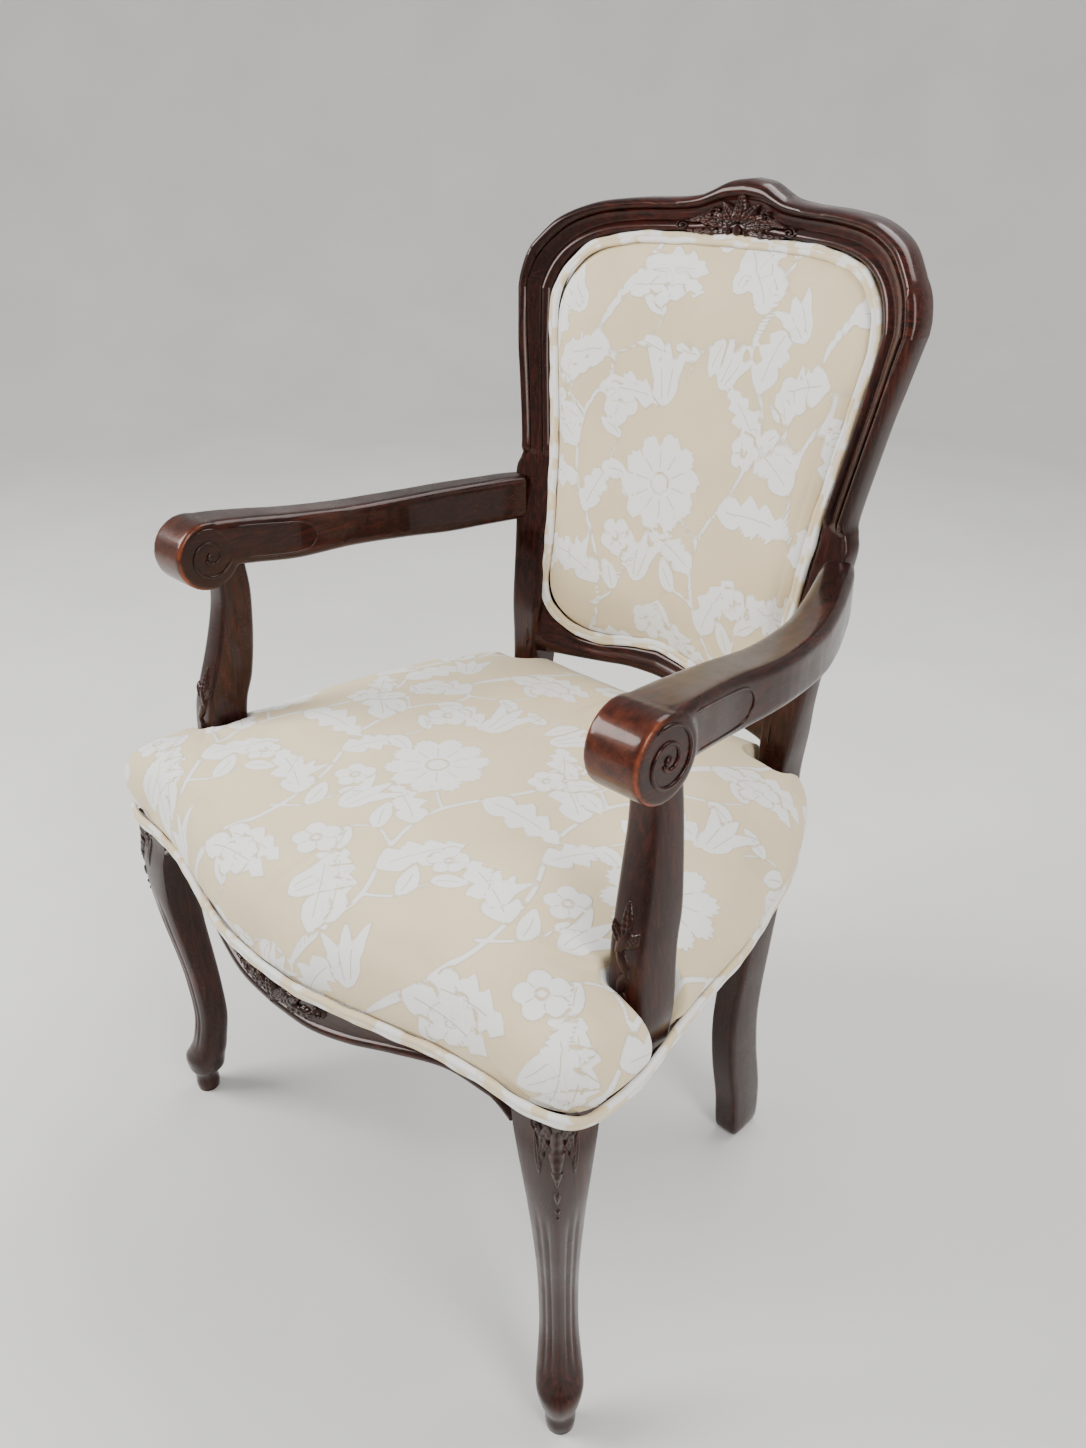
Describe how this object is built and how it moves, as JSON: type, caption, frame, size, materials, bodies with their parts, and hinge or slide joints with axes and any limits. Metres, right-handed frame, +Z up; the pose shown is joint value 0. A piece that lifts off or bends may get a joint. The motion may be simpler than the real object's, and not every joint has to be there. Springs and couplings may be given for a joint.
{
  "type": "armchair",
  "caption": "Upholstered open armchair with a carved show-wood frame, cabriole front legs, scrolled arms and a bowed, padded back.",
  "frame": {"origin": "on the floor, under the middle of the chair", "axes": "+Z up; the sitter faces -Y; +X is the sitter's left"},
  "size_m": [0.6826, 0.6924, 1],
  "materials": {
    "mahogany": "dark mahogany, high-gloss lacquer, slightly worn to red-brown on the scroll edges",
    "raw_wood": "unfinished hardwood",
    "seat_fabric": "cream jacquard with a raised white floral pattern, fine weave, soft sheen",
    "back_fabric": "cream jacquard with a raised white floral pattern, fine weave, soft sheen",
    "outside_back_fabric": "cream jacquard with a raised white floral pattern, fine weave, soft sheen",
    "welt_fabric": "double welt of the same jacquard, cut on the bias",
    "foam": "polyurethane foam and cotton wadding",
    "webbing": "woven jute webbing",
    "hessian": "loose-woven hessian",
    "cambric": "black non-woven dust cover",
    "steel": "zinc-plated wood screw"
  },
  "bodies": {
    "root": {"arm_left": "mahogany", "arm_right": "mahogany", "arm_support_left": "mahogany", "arm_support_right": "mahogany", "arm_support_screw_left": "steel", "arm_support_screw_right": "steel", "arm_to_post_screw_left": "steel", "arm_to_post_screw_right": "steel", "back_bottom_rail": "mahogany", "back_cover": "back_fabric", "back_foam": "foam", "back_hessian": "hessian", "back_welt": "welt_fabric", "corner_block_front_left": "raw_wood", "corner_block_front_right": "raw_wood", "corner_block_rear_left": "raw_wood", "corner_block_rear_right": "raw_wood", "crest_rail": "mahogany", "dust_cover": "cambric", "front_block_to_front_rail_screw_left": "steel", "front_block_to_front_rail_screw_right": "steel", "front_block_to_side_rail_screw_left": "steel", "front_block_to_side_rail_screw_right": "steel", "front_leg_left": "mahogany", "front_leg_right": "mahogany", "front_seat_rail": "mahogany", "outside_back_cover": "outside_back_fabric", "rear_block_to_rear_rail_screw_left": "steel", "rear_block_to_rear_rail_screw_right": "steel", "rear_block_to_side_rail_screw_left": "steel", "rear_block_to_side_rail_screw_right": "steel", "rear_post_left": "mahogany", "rear_post_right": "mahogany", "rear_seat_rail": "mahogany", "seat_cover": "seat_fabric", "seat_foam": "foam", "seat_hessian": "hessian", "seat_webbing_cross_1": "webbing", "seat_webbing_cross_2": "webbing", "seat_webbing_cross_3": "webbing", "seat_webbing_cross_4": "webbing", "seat_webbing_long_1": "webbing", "seat_webbing_long_2": "webbing", "seat_webbing_long_3": "webbing", "seat_webbing_long_4": "webbing", "seat_welt": "welt_fabric", "side_seat_rail_left": "mahogany", "side_seat_rail_right": "mahogany"}
  },
  "joints": []
}
